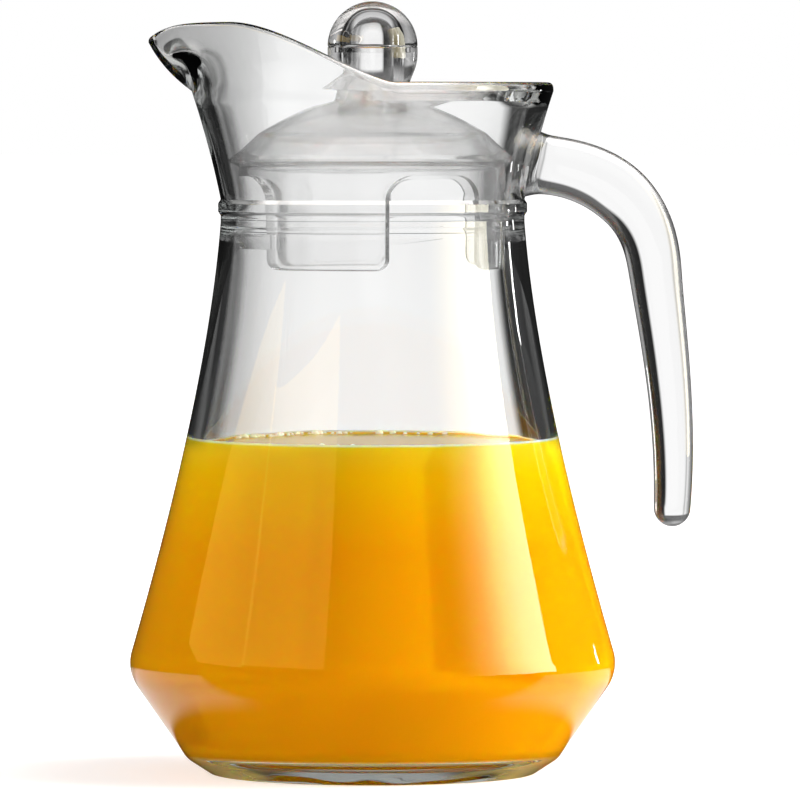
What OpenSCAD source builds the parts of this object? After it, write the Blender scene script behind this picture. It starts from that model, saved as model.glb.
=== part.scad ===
// Glass pitcher with a drawn beak, an applied open handle and a clear lift-off lid.
// Millimetres. +Z is up, the beak points along -X and the handle along +X.
// The origin is the centre of the foot, on the table.

/* [Jug] */
// Outer radius of the foot ring
foot_r = 44.5; // [42:0.5:48]
// Width of the ring that stands on the table
foot_w = 4.5; // [3:0.5:8]
// Depth of the hollow under the base
punt_depth = 1.8; // [1:0.1:2.5]
// Height of the floor inside the jug
floor_h = 7.6; // [4.5:0.1:9]
// Radius at the heel, where the lower flank starts
heel_r = 51; // [49:0.5:54]
// Height of the heel
heel_h = 4.2; // [2.5:0.1:5]
// Radius at which the two flanks would meet if the belly were not rounded
belly_r = 67.6; // [63:0.2:74]
// Height at which the two flanks would meet
belly_h = 28.2; // [24:0.2:34]
// Rounding of the belly
belly_round = 11.5; // [10:0.5:18]
// Radius towards which the upper flank heads as it leaves the belly
shoulder_r = 45.1; // [43:0.1:49]
// Height of the point towards which the upper flank heads
shoulder_h = 106; // [90:1:125]
// Outer radius of the neck
neck_r = 41.6; // [40:0.1:43]
// Height at which the flank has become the neck
neck_h = 151; // [147:0.5:153]
// Thickness of the glass round the belly
wall = 4.9; // [3.6:0.1:5.2]
// Thickness of the glass just below the throat
neck_wall = 3.5; // [3:0.1:3.9]

/* [Mouth] */
// Outer radius of the thin band round the neck
band_r = 42.3; // [42:0.1:45]
// Height of the middle of the band above the top of the flank
band_rise = 4; // [3.5:0.5:6]
// Width of the band
band_w = 2.2; // [1.6:0.1:3]
// How far below the top of the flank the narrow throat starts
throat_drop = 3; // [2:0.5:6]
// Thickness of the glass at the throat
throat_wall = 4.2; // [4:0.1:4.6]
// Outer radius of the rim
rim_r = 49.5; // [48:0.1:53]
// Height of the rim above the middle of the band, where the rim is level
mouth_l = 34.2; // [30:0.2:46]
// Height of the upright edge of the rim
rim_edge = 2.4; // [1.6:0.1:4]

/* [Beak] */
// How far the tip of the beak stands out past the rim
beak_reach = 11.8; // [6:0.5:16]
// How far the sides of the beak rise above the rim
beak_rise = 16.2; // [10:0.5:20]
// How far the tip dips below the sides of the beak
tip_dip = 3.8; // [2:0.1:7]
// Thickness of the drawn lip of the beak
lip_t = 3; // [2.2:0.1:3.8]

/* [Handle] */
// How far the back of the handle stands from the jug's axis
handle_reach = 88; // [84:0.5:100]
// Height of the middle of the root above the middle of the band
root_rise = 11.8; // [9:0.2:15]
// How far the lowest point of the tail is below the middle of the root
handle_l = 99.3; // [76:0.1:110]
// Height of the section at the root
root_w = 15.8; // [13:0.2:18]
// Width of the section in the bend
bend_w = 17; // [13:0.2:19]
// Width of the section at the tail
tail_w = 10.2; // [8:0.2:12]
// Thickness of the handle from side to side at the root
root_t = 13; // [10:0.2:15]
// Thickness of the handle from side to side at the tail
tail_t = 9.4; // [7:0.2:11]

/* [Lid] */
// Gap between the lid and the glass that it sits in
lid_gap = 0.35; // [0.25:0.05:0.6]
// Height of the edge of the flange above the middle of the band
flange_rise = 13.8; // [11:0.2:17]
// Radius of the shoulder, where the dome turns into the flange
dome_r = 31; // [29:0.2:33]
// Height of the shoulder above the edge of the flange
dome_step = 7.4; // [5:0.2:9]
// Height of the dome above its shoulder
dome_rise = 8.8; // [6:0.2:12]
// Thickness of the lid's walls
lid_t = 2; // [1.5:0.1:2.4]
// Gap between the skirt and the throat
skirt_gap = 1; // [0.9:0.1:2]
// Length of the skirt below the edge of the flange
skirt_l = 30.8; // [29:0.2:38]
// How far the tops of the windows are below the edge of the flange
window_drop = 4.4; // [3.8:0.2:9]

/* [Knob] */
// Radius of the knob
knob_r = 12.3; // [11:0.1:14]
// Height of the middle of the knob above the edge of the flange
knob_rise = 30.2; // [29:0.2:36]
// Radius of the hollow in the knob
hollow_r = 5.8; // [5:0.1:7]
// Thickness of the knob above its hollow
cap_t = 5; // [2:0.1:6]

/* [Hidden] */
glass = [0.85, 0.89, 0.9, 0.45];
plastic = [0.93, 0.94, 0.95, 0.55];
$fn = 96;
overrun = neck_r;

// Steps taken along an arc, along a drawn curve and along the long flank
arc_step = 6;
curve_steps = 8;
flank_steps = 14;

// Heights above the table
band_h = neck_h + band_rise;
throat_h = neck_h - throat_drop;
rim_h = band_h + mouth_l;
root_h = band_h + root_rise;
tail_h = root_h - handle_l;
flange_h = band_h + flange_rise;
skirt_h = flange_h - skirt_l;
window_h = flange_h - window_drop;
knob_h = flange_h + knob_rise;

// Roundings and small ledges of the glass
foot_round = 1.1;
punt_round = 1.6;
heel_round = 6;
floor_round = 9;
throat_round = 1.6;
throat_ramp = 1.8;
band_round = 0.9;
seat_h = band_h + band_w;
inlay = 0.2;

// Shares that give the beak its form, chosen by hand. Angles run from the tip.
beak_full_angle = 38;
beak_end_angle = 97;
beak_fall_power = 1.35;
tip_angle = 15;
tip_power = 1.3;
dip_angle = 8;
dip_power = 1.2;
side_out_share = 0.07;
under_share = [0.667, 0.42];
channel_near_share = [0.33, 0.33];
channel_near_pull_share = [-0.26, 0.5];
channel_far_share = [0.667, 0.667];
channel_far_pull_share = [-0.06, -0.187];
lip_square = 0.7;
flare_share = [0.38, 0.5];
rim_shift_share = 0.8;
mouth_sides = 96;
mouth_crowd = 28;

// How the handle is drawn. The shares are points of its reach and of its drop.
root_sink = 1.3;
collar = 1.5;
collar_fall = 2.2;
nudge = 0.01;
handle_sides = 24;
handle_rings = 22;
handle_square = 0.72;
root_out_share = [0.335, -0.002];
bend_top_share = [0.821, 0.056];
bend_end_share = [0.877, 0.295];
drop_start_share = [0.913, 0.444];
drop_end_share = [1.041, 0.72];
tail_in_share = 0.58;
bend_at_share = 0.3;
thinning_power = 0.9;
ring_crowd_power = 1.4;

// Angles of the windows in the lid's skirt, from the handle
arch_mid_angle = 61.8;
arch_angle = 42.7;
pour_angle = 81.2;
arch_round = 7;
pour_round = 8;
leg_round = 3.2;

// The lugs on the front and back legs of the skirt
lug_angle = -113;
lug_l = 24;
lug_t = skirt_gap - lid_gap;
lug_h = 4.4;
lug_ramp = 6.5;

// The seat of the knob's cap
spigot_t = 1;
spigot_h = 1.6;
spigot_gap = 0.1;
seam_cut = 0.25;
knob_drop = 4.4;
knob_round = 12;
knob_waist_r = 9.9;
knob_waist_drop = 10.4;
knob_fillet = 1.2;
dome_start_r = 10.4;
shoulder_round = 1.2;
flange_t = 1.3;
skirt_round = 1.2;
skirt_foot_round = 0.7;
dome_bulge_share = [0.58, 0.61];

function unit(v) = v / norm(v);
function left(v) = [-v[1], v[0]];
function mix(a, b, t) = a + (b - a) * t;
function within(a, b, shares) = [mix(a[0], b[0], shares[0]), mix(a[1], b[1], shares[1])];
function smooth(t) = (1 - cos(180 * min(max(t, 0), 1))) / 2;

// A curve of three or of four control points
function curve3(a, b, c, t) = mix(mix(a, b, t), mix(b, c, t), t);
function curve4(a, b, c, d, t) = mix(curve3(a, b, c, t), curve3(b, c, d, t), t);

// The point of a curve of three control points that lies at height h
function curve3_at(a, b, c, h) =
    let (slope = b[1] - a[1], bend = c[1] - b[1] - slope, rise = h - a[1])
        curve3(a, b, c, rise / (slope + sqrt(pow(slope, 2) + bend * rise)));

// The corner b of the path a-b-c, rounded with radius r
function round_corner(a, b, c, r) =
    let (
        u = unit(b - a),
        v = unit(c - b),
        turn = atan2(u[0] * v[1] - u[1] * v[0], u * v),
        reach = r * tan(abs(turn) / 2),
        side = turn > 0 ? 1 : -1,
        start = b - u * reach,
        centre = start + left(u) * r * side,
        steps = max(2, ceil(abs(turn) / arc_step))
    )
    [
        for (i = [0 : steps])
            let (angle = turn * i / steps)
                centre - side * r * [
                    left(u)[0] * cos(angle) - left(u)[1] * sin(angle),
                    left(u)[0] * sin(angle) + left(u)[1] * cos(angle)
                ]
    ];

// A path of [x, y, rounding] corners, each rounded, with its two ends kept
function rounded(path) =
    let (last = len(path) - 1, flat = [for (p = path) [p[0], p[1]]])
    [
        for (i = [0 : last])
            each (i == 0 || i == last || path[i][2] == 0
                ? [flat[i]]
                : round_corner(flat[i - 1], flat[i], flat[i + 1], path[i][2]))
    ];

// Where the corner b of the path a-b-c lies after both sides move left by d
function inner_corner(a, b, c, d) =
    let (n = unit(left(unit(b - a)) + left(unit(c - b))))
        b + n * d / (n * left(unit(b - a)));

// The outline of the jug's wall
heel = [heel_r, heel_h];
belly = [belly_r, belly_h];
shoulder = [shoulder_r, shoulder_h];
neck = [neck_r, neck_h];
neck_top = [neck_r + inlay, seat_h];
belly_in = inner_corner(heel, belly, shoulder, wall);
shoulder_in = inner_corner(belly, shoulder, neck, wall);
flank_in = unit(belly - heel);
floor_corner = belly_in - flank_in * (belly_in[1] - floor_h) / flank_in[1];
throat_r = neck_r - throat_wall;
belly_arc = round_corner(heel, belly, shoulder, belly_round);
belly_arc_in = round_corner(floor_corner, belly_in, shoulder_in, belly_round - wall);
flank_end = [neck_r - neck_wall, throat_h];

function flank(from, by, to) =
    [for (i = [1 : flank_steps]) curve3(from, by, to, i / flank_steps)];

jug_outside = concat(
    rounded([
        [0, punt_depth],
        [foot_r - foot_w, punt_depth, punt_round],
        [foot_r - foot_w, 0, foot_round / 2],
        [foot_r, 0, foot_round],
        [heel_r, heel_h, heel_round],
        belly_arc[0]
    ]),
    [for (i = [1 : len(belly_arc) - 1]) belly_arc[i]],
    flank(belly_arc[len(belly_arc) - 1], shoulder, neck),
    rounded([
        [neck_r, band_h - band_w],
        [band_r, band_h - band_w / 2, band_round / 2],
        [band_r, band_h + band_w / 2, band_round / 2],
        neck_top
    ])
);

jug_inside = concat(
    rounded([
        [0, floor_h],
        [floor_corner[0], floor_corner[1], floor_round],
        belly_arc_in[0]
    ]),
    [for (i = [1 : len(belly_arc_in) - 1]) belly_arc_in[i]],
    flank(belly_arc_in[len(belly_arc_in) - 1], shoulder_in, flank_end),
    rounded([
        flank_end,
        [throat_r, throat_h + throat_ramp, throat_round],
        [throat_r, seat_h]
    ])
);

function reversed(path) = [for (i = [len(path) - 1 : -1 : 0]) path[i]];

// The mouth: a flared ring whose rim rises and runs out into the beak
edge = [rim_r, rim_h - rim_edge];
flare_foot = [neck_r, band_h];
flare_start = [neck_r, seat_h];
flare_bend = within(flare_start, edge, flare_share);
flare_way = unit(edge - flare_bend);
flare_in_end = edge + wall * (left(flare_way) - rim_shift_share * flare_way);
flare_in_foot = [throat_r + inlay, band_h];
flare_in_start = [throat_r + inlay, seat_h];
flare_in_bend = flare_bend + wall * unit(left(edge - flare_start));

// How much of the beak's reach, of its rise and of the dip at its tip an angle has
function reach_at(angle) = exp(-pow(angle / tip_angle, tip_power));
function rise_at(angle) =
    let (fall = (angle - beak_full_angle) / (beak_end_angle - beak_full_angle))
    pow(cos(90 * min(max(fall, 0), 1)), beak_fall_power);
function dip_at(angle) = exp(-pow(angle / dip_angle, dip_power));
function lip_r_at(angle) =
    rim_r + beak_reach * reach_at(angle)
        + beak_rise * side_out_share * rise_at(angle) * (1 - reach_at(angle));
function lip_h_at(angle) = rim_h + beak_rise * rise_at(angle) - tip_dip * dip_at(angle);
function lip_t_at(angle) = mix(throat_wall, lip_t, rise_at(angle));

function squared(v) = sign(v) * pow(abs(v), lip_square);

// The section of the mouth at an angle from the tip, from its outer foot to its inner foot
function mouth_section(angle) =
    let (
        t = lip_t_at(angle),
        lip = [lip_r_at(angle), lip_h_at(angle) - t / 2],
        lip_in = lip - [t, 0],
        pull = reach_at(angle),
        near = within(flare_in_end, lip_in, channel_near_share + channel_near_pull_share * pull),
        far = within(flare_in_end, lip_in, channel_far_share + channel_far_pull_share * pull),
        under = within(edge, lip, under_share)
    )
    concat(
        [flare_foot],
        [for (i = [0 : curve_steps]) curve3(flare_start, flare_bend, edge, i / curve_steps)],
        [for (i = [1 : curve_steps]) curve3(edge, under, lip, i / curve_steps)],
        [
            for (a = [30 : 30 : 150])
                lip + [(squared(cos(a)) - 1) * t / 2, squared(sin(a)) * t / 2]
        ],
        [for (i = [curve_steps : -1 : 1]) curve4(flare_in_end, near, far, lip_in, i / curve_steps)],
        [
            for (i = [curve_steps : -1 : 0])
                curve3(flare_in_start, flare_in_bend, flare_in_end, i / curve_steps)
        ],
        [flare_in_foot]
    );

// A closed ring of sections, or a bar of sections with a cap at each end
module skin(rings, closed) {
    n = len(rings);
    m = len(rings[0]);
    turns = closed ? n : n - 1;
    points = [for (ring = rings) each ring];
    sides = [
        for (i = [0 : turns - 1], j = [0 : m - 1])
            let (
                a = i * m + j,
                b = i * m + (j + 1) % m,
                c = ((i + 1) % n) * m + (j + 1) % m,
                d = ((i + 1) % n) * m + j
            )
            each [[a, b, c], [a, c, d]]
    ];
    caps = closed ? [] : [
        [for (j = [m - 1 : -1 : 0]) j],
        [for (j = [0 : m - 1]) (n - 1) * m + j]
    ];
    polyhedron(points = points, faces = concat(sides, caps), convexity = 8);
}

module mouth() {
    skin(
        [
            for (i = [0 : mouth_sides - 1])
                let (
                    turn = 360 * i / mouth_sides,
                    angle = turn - mouth_crowd * sin(turn),
                    section = mouth_section(min(angle, 360 - angle))
                )
                [for (p = section) [-p[0] * cos(angle), -p[0] * sin(angle), p[1]]]
        ],
        true
    );
}

module glass_jug() {
    color(glass)
        union() {
            rotate_extrude() polygon(concat(jug_outside, reversed(jug_inside)));
            mouth();
        }
}

// The handle's middle line, from the root in the wall of the neck down to the tail
flare_mid = curve3_at(flare_start, flare_bend, edge, root_h);
root_way = unit([edge[1] - flare_start[1], flare_start[0] - edge[0]]);
root = [flare_mid[0] - root_sink, root_h];
tail = [handle_reach - tail_w * tail_in_share, tail_h + tail_w / 2];
root_out = within(root, tail, root_out_share);
bend_top = within(root, tail, bend_top_share);
bend_end = within(root, tail, bend_end_share);
drop_start = within(root, tail, drop_start_share);
drop_end = within(root, tail, drop_end_share);

function handle_line(t) =
    t < 1
        ? curve4(root, root_out, bend_top, bend_end, t)
        : curve4(bend_end, drop_start, drop_end, tail, t - 1);

function superround(a, w, t) =
    [
        sign(cos(a)) * pow(abs(cos(a)), handle_square) * w / 2,
        sign(sin(a)) * pow(abs(sin(a)), handle_square) * t / 2
    ];

// One ring of the handle: its place on the line, and its width and thickness there
function handle_ring(at, along, w, t) =
    [
        for (i = [0 : handle_sides - 1])
            let (
                p = superround(360 * i / handle_sides, w, t),
                across = left(along)
            )
            [at[0] + across[0] * p[0], p[1], at[1] + across[1] * p[0]]
    ];

// The section grows a little from the root to the bend and thins from there to the tail
function handle_width(share) =
    share < bend_at_share
        ? mix(root_w, bend_w, smooth(share / bend_at_share))
        : mix(bend_w, tail_w, pow((share - bend_at_share) / (1 - bend_at_share), thinning_power));

module glass_handle() {
    run = [
        for (i = [0 : handle_rings])
            let (
                share = pow(i / handle_rings, ring_crowd_power),
                at = handle_line(2 * share),
                next = handle_line(min(2 * share + nudge, 2)),
                before = handle_line(max(2 * share - nudge, 0)),
                out = norm(at - root),
                flare = 2 * collar * exp(-max(out - root_sink, 0) / collar_fall)
            )
            handle_ring(
                at,
                unit(mix(root_way, unit(next - before), min(out / root_w, 1))),
                handle_width(share) + flare,
                mix(root_t, tail_t, share) + flare
            )
    ];
    tip = [
        for (a = [15 : 15 : 75])
            handle_ring(
                tail - [0, tail_w / 2 * sin(a)],
                [0, -1],
                tail_w * cos(a),
                tail_t * cos(a)
            )
    ];
    color(glass) skin(concat(run, tip), false);
}

// The lid's sizes that follow from the glass round it
flange_seat = curve3_at(flare_in_start, flare_in_bend, flare_in_end, flange_h - flange_t / 2);
flange_r = flange_seat[0] - lid_gap;
skirt_r = throat_r - skirt_gap;
shoulder_z = flange_h + dome_step;
dome_top = shoulder_z + dome_rise;
dome_start = [dome_start_r, dome_top];
dome_end = [dome_r, shoulder_z];
dome_bulge = [mix(dome_start_r, dome_r, dome_bulge_share[0]), mix(shoulder_z, dome_top, dome_bulge_share[1])];
dome_start_in = [hollow_r, dome_top - lid_t];
dome_end_in = [dome_r - lid_t, shoulder_z - lid_t];
dome_bulge_in = dome_bulge - [lid_t / 2, lid_t];
spigot_r = hollow_r + spigot_t;

module lid_section() {
    polygon(
        concat(
            rounded([
                [knob_r - seam_cut, knob_h],
                [knob_r, knob_h - seam_cut, 0],
                [knob_r, knob_h - knob_drop, knob_round],
                [knob_waist_r, knob_h - knob_waist_drop, knob_fillet],
                dome_start
            ]),
            [for (i = [1 : curve_steps - 1]) curve3(dome_start, dome_bulge, dome_end, i / curve_steps)],
            rounded([
                curve3(dome_start, dome_bulge, dome_end, 1 - 1 / (2 * curve_steps)),
                [dome_r, shoulder_z, shoulder_round / 2],
                [flange_r, flange_h, 0],
                [flange_r, flange_h - flange_t / 2, 0],
                [flange_r - flange_t, flange_h - flange_t, 0],
                [skirt_r, flange_h - flange_t, skirt_round],
                [skirt_r, skirt_h, skirt_foot_round],
                [skirt_r - lid_t, skirt_h, skirt_foot_round],
                [skirt_r - lid_t, flange_h, skirt_round],
                [dome_r - lid_t, shoulder_z - lid_t, shoulder_round],
                curve3(dome_start_in, dome_bulge_in, dome_end_in, 1 - 2 / curve_steps)
            ]),
            [
                for (i = [curve_steps - 3 : -1 : 0])
                    curve3(dome_start_in, dome_bulge_in, dome_end_in, i / curve_steps)
            ],
            [
                [hollow_r, knob_h - spigot_h],
                [spigot_r + spigot_gap, knob_h - spigot_h],
                [spigot_r + spigot_gap, knob_h]
            ]
        )
    );
}

// The outline of a window that is open at the bottom: a round-headed gap between two legs
module window_outline(w, top, head_round) {
    half = w / 2;
    low = skirt_h - leg_round;
    polygon(
        rounded([
            [-half - overrun, low],
            [-half - overrun, skirt_h, 0],
            [-half, skirt_h, leg_round],
            [-half, top, head_round],
            [half, top, head_round],
            [half, skirt_h, leg_round],
            [half + overrun, skirt_h, 0],
            [half + overrun, low]
        ])
    );
}

// A window cut outwards through one side of the skirt
module window(angle, spread, head_round) {
    rotate([0, 0, angle])
        translate([skirt_r / 3, 0, 0])
            rotate([90, 0, 90])
                linear_extrude(height = overrun)
                    window_outline(2 * skirt_r * sin(spread / 2), window_h, head_round);
}

// A lug on the outside of a leg, with a ramp at the end towards the handle
module lug() {
    intersection() {
        rotate_extrude()
            translate([skirt_r - lid_t / 2, skirt_h])
                square([lid_t / 2 + lug_t, window_h - skirt_h]);
        rotate([0, 0, lug_angle])
            translate([skirt_r / 3, 0, 0])
                rotate([90, 0, 90])
                    linear_extrude(height = overrun)
                        polygon([
                            [-lug_l / 2, throat_h],
                            [-lug_l / 2, throat_h - lug_h],
                            [lug_l / 2 - lug_ramp, throat_h - lug_h],
                            [lug_l / 2, throat_h]
                        ]);
    }
}

module lid_body() {
    color(plastic) {
        difference() {
            rotate_extrude() lid_section();
            for (side = [-1, 1])
                window(side * arch_mid_angle, arch_angle, arch_round);
            window(180, pour_angle, pour_round);
        }
        for (side = [0, 1])
            mirror([0, side, 0]) lug();
    }
}

module knob_cap() {
    hollow_top = knob_h + knob_r - cap_t;
    color(plastic)
        rotate_extrude()
            polygon(
                concat(
                    [
                        for (a = [90 : -arc_step : arc_step])
                            [knob_r * cos(a), knob_h + knob_r * sin(a)]
                    ],
                    rounded([
                        [knob_r, knob_h + seam_cut],
                        [knob_r - seam_cut, knob_h, 0],
                        [spigot_r, knob_h, 0],
                        [spigot_r, knob_h - spigot_h, 0],
                        [hollow_r, knob_h - spigot_h, 0],
                        [hollow_r, hollow_top - hollow_r]
                    ]),
                    [
                        for (a = [arc_step : arc_step : 90])
                            [hollow_r * cos(a), hollow_top - hollow_r + hollow_r * sin(a)]
                    ]
                )
            );
}

glass_jug();
glass_handle();
lid_body();
knob_cap();
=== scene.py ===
# A clear glass pitcher with its lid on, part filled with orange juice, on a plain pale floor.
# Sizes in the making of the pieces are in millimetres. The beak points along -X, the handle along +X.

import math

import bmesh
import bpy
from mathutils import Matrix, Vector


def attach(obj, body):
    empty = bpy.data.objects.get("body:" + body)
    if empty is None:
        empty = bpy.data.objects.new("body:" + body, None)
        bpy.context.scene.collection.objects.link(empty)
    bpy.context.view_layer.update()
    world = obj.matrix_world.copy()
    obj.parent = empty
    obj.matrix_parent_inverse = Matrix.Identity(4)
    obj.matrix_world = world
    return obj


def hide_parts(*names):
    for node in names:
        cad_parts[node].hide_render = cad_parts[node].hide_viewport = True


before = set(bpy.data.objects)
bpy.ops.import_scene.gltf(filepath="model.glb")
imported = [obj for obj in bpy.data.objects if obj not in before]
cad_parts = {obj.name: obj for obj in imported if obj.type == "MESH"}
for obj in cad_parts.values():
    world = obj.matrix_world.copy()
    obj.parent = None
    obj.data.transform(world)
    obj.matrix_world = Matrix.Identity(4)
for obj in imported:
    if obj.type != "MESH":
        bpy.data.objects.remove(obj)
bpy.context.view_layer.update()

MM = 0.001

# The jug's wall
FOOT_R = 44.5
FOOT_W = 4.5
PUNT_DEPTH = 1.8
FLOOR_H = 7.6
HEEL = (51, 4.2)
BELLY = (67.6, 28.2)
BELLY_ROUND = 11.5
SHOULDER = (45.1, 106)
NECK = (41.6, 151)
WALL = 4.9
NECK_WALL = 3.5
BAND_R = 42.3
BAND_H = 155
BAND_W = 2.2
THROAT_H = 148
THROAT_WALL = 4.2
RIM_R = 49.5
RIM_H = 189.2
RIM_EDGE = 2.4
FOOT_ROUND = 1.1
PUNT_ROUND = 1.6
HEEL_ROUND = 6
FLOOR_ROUND = 9
THROAT_ROUND = 1.6
THROAT_RAMP = 1.8
BAND_ROUND = 0.9

# The beak, with angles in degrees from its tip, and shares that place the bends of its section
BEAK_REACH = 11.8
BEAK_RISE = 16.2
TIP_DIP = 3.8
LIP_T = 3
BEAK_FULL_ANGLE = 38
BEAK_END_ANGLE = 97
BEAK_FALL_POWER = 1.35
TIP_ANGLE = 15
TIP_POWER = 1.3
DIP_ANGLE = 8
DIP_POWER = 1.2
SIDE_OUT_SHARE = 0.07
UNDER_SHARE = (0.667, 0.42)
CHANNEL_NEAR = ((0.33, 0.33), (-0.26, 0.5))
CHANNEL_FAR = ((0.667, 0.667), (-0.06, -0.187))
LIP_SQUARE = 0.7
FLARE_SHARE = (0.38, 0.5)
RIM_SHIFT = 0.8
MOUTH_CROWD = 28

# The handle, with its bends as shares of the way from root to tail
HANDLE_REACH = 88
ROOT_H = 166.8
TAIL_H = 67.5
ROOT_W = 15.8
BEND_W = 17
TAIL_W = 10.2
ROOT_T = 13
TAIL_T = 9.4
ROOT_SINK = 1.3
COLLAR = 1.5
COLLAR_FALL = 2.2
HANDLE_SQUARE = 0.72
TAIL_IN = 0.58
HANDLE_BENDS = ((0.335, -0.002), (0.821, 0.056), (0.877, 0.295), (0.913, 0.444), (1.041, 0.72))
HANDLE_CROWD = 1.4
NUDGE = 0.01
WIDEST_AT = 0.3
TAPER_POWER = 0.9
TAIL_ANGLES = (15, 30, 45, 60, 72, 82)

# The lid
LID_GAP = 0.35
FLANGE_H = 168.8
FLANGE_T = 1.3
FLANGE_ROUND = 0.15
DOME_R = 31
DOME_STEP = 7.4
DOME_RISE = 8.8
DOME_START_R = 10.4
DOME_BULGE = (0.58, 0.61)
LID_T = 2
SKIRT_GAP = 1
SKIRT_H = 138
WINDOW_H = 164.4
ARCH_MID = 61.8
ARCH_ANGLE = 42.7
POUR_ANGLE = 81.2
ARCH_ROUND = 7
POUR_ROUND = 8
LEG_ROUND = 3.2
LUG_ANGLE = -113
LUG_L = 24
LUG_H = 4.4
LUG_RAMP = 6.5
KNOB_R = 12.3
KNOB_H = 199
HOLLOW_R = 5.8
KNOB_DROP = 4.4
KNOB_ROUND = 12
KNOB_WAIST = (9.9, 10.4)
KNOB_FILLET = 1.2
SPIGOT_T = 1
CAP_T = 5
SPIGOT_H = 1.6
SPIGOT_GAP = 0.1
SEAM_CUT = 0.25
SKIRT_ROUND = 1.2
SKIRT_FOOT_ROUND = 0.7
SHOULDER_ROUND = 1.2

# The juice
JUICE_H = 91.5
JUICE_INTO_WALL = 0.3
JUICE_DIP = 0.9
JUICE_CLIMB = ((0.5, 0.75), (1.1, 0.35), (2.0, 0.12), (3.2, 0.0))
JUICE_RINGS = (40, 30, 20, 10, 0)

# Bubbles: how many from which angle over how many degrees, their radii, and their gaps to the wall
BUBBLE_RUNS = ((24, 97, 56), (7, 252, 12), (6, 60, 30))
BUBBLE_SIZES = (1.15, 0.6, 0.85, 0.45, 1.0, 0.5, 0.7)
BUBBLE_GAP = 0.9
BUBBLE_SPREAD = 2.2

# How finely curves and turned pieces are drawn
ARC_STEP = 4
CURVE_STEPS = 14
FLANK_STEPS = 30
JUG_STEPS = 288
LID_STEPS = 192
JUICE_STEPS = 192
KNOB_STEPS = 128
KNOB_STEP = 3
LIP_STEP = 15
LUG_STEPS = 12
HANDLE_RINGS = 30
HANDLE_SIDES = 32
BUBBLE_MESH = {"segments": 20, "ring_count": 12}
MERGE_GAP = 0.002

# The blocks that cut the windows, which start inside the skirt and reach out past it
CUT_START_SHARE = 1 / 3
CUT_LENGTH = 42
CUT_OVER = 30

# From which angle between faces an edge stays sharp
SHARP = 40
LID_SHARP = 35
ROUND_SHARP = 60

# In what follows a span is where a change starts and where it is full, and a fade is a span of
# heights in millimetres, above or below a level of the jug.

# Clear glass and plastic: waves are a scale, a depth in metres and a stretch along the axis
GLASS_IOR = 1.5
LID_IOR = 1.3
KNOB_IOR = 1.49
JUG_WAVES = (40, 0.0004, 0.12)
HANDLE_WAVES = (40, 0.00005, 1)
LID_WAVES = (60, 0.00003, 1)
KNOB_WAVES = (110, 0.0003, 0.4)
GLASS_GREEN = (0.72, 0.9, 0.82)
GLASS_DENSITY = 3
SHADOW_TINT = (0.92, 0.94, 0.93)
WHITE = (1, 1, 1)
# The lid's dome is painted greyer than its skirt: painted shade.
SKIRT_TINT = (0.99, 0.99, 0.99)
DOME_SHADE = (0.9, 0.9, 0.9)
DOME_FADE = (1, 6)
LID_HAZE = 0.08
LID_BODY = 0.8
BOND_T = 0.05
LEVEL_NORMAL = 0.99
UPWARD = 0.5

# Painted shade on the clear pieces: greys from face on to edge on, and on the jug's wall from beak to
# handle
WALL_EDGE_SHADE = ((0.52, 1), (0.6, 0.5), (0.7, 0.28), (0.82, 0.45), (1, 0.25))
WALL_SIDE_SHADE = ((-0.95, 0.66), (-0.63, 0.8), (-0.42, 0.97), (-0.25, 1))
WALL_REACH = 0.06
WALL_FADE = (-3.5, 1.5)
LIP_FADE = (-10.2, -3.2)
LIP_CLEAR = 0.75
HANDLE_OUTER_SHADE = ((0.25, 1), (0.4, 0.6), (0.55, 0.06))
HANDLE_INNER_SHADE = ((0.1, 1), (0.3, 0.25), (0.5, 0.15))
INNER_NORMAL = (0.05, -0.05)
KNOB_EDGE_SHADE = ((0.06, 1), (0.25, 0.6), (0.6, 0.3))

# The juice, with its colours by the share of its height, which hold painted light and shade: darker low
# down, lighter towards the top, a pale painted highlight where it climbs the glass, and pale painted
# light on its underside
JUICE_TONES_AND_PAINTED_LIGHT = (
    (0.081, (1.0, 0.77, 0.3)), (0.089, (0.90, 0.39, 0.001)), (0.69, (0.95, 0.41, 0.001)),
    (0.91, (1.0, 0.55, 0.001)), (0.989, (1.0, 0.63, 0.015)), (0.992, (1.0, 0.63, 0.015)),
    (0.996, (1.0, 0.9, 0.6)),
)
# The juice's top face is painted darker: painted shade.
JUICE_TOP_SHADE = (0.86, 0.37, 0.008)
TOP_FADE = (-0.4, -0.7)
JUICE_ROUGHNESS = 0.6
JUICE_DEPTHS = (1, 0.6, 0.1)
JUICE_DEPTH = 0.008
CLOUD_SCALE = 35
CLOUD_SHARE = 0.1
GLASS_MIRROR = (0.53, 0.57)
TOP_MIRROR = (0.85, 0.95)
TOP_MIRROR_SHARE = 0.55
FOAM_SCALE = 300
FOAM_DARK = (1.0, 0.78, 0.42)
FOAM_PALE = (1.0, 0.97, 0.88)
FOAM_DEPTH = 0.002
FOAM_ROUGHNESS = 0.15
FOAM_MILKINESS = 0.5

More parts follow.
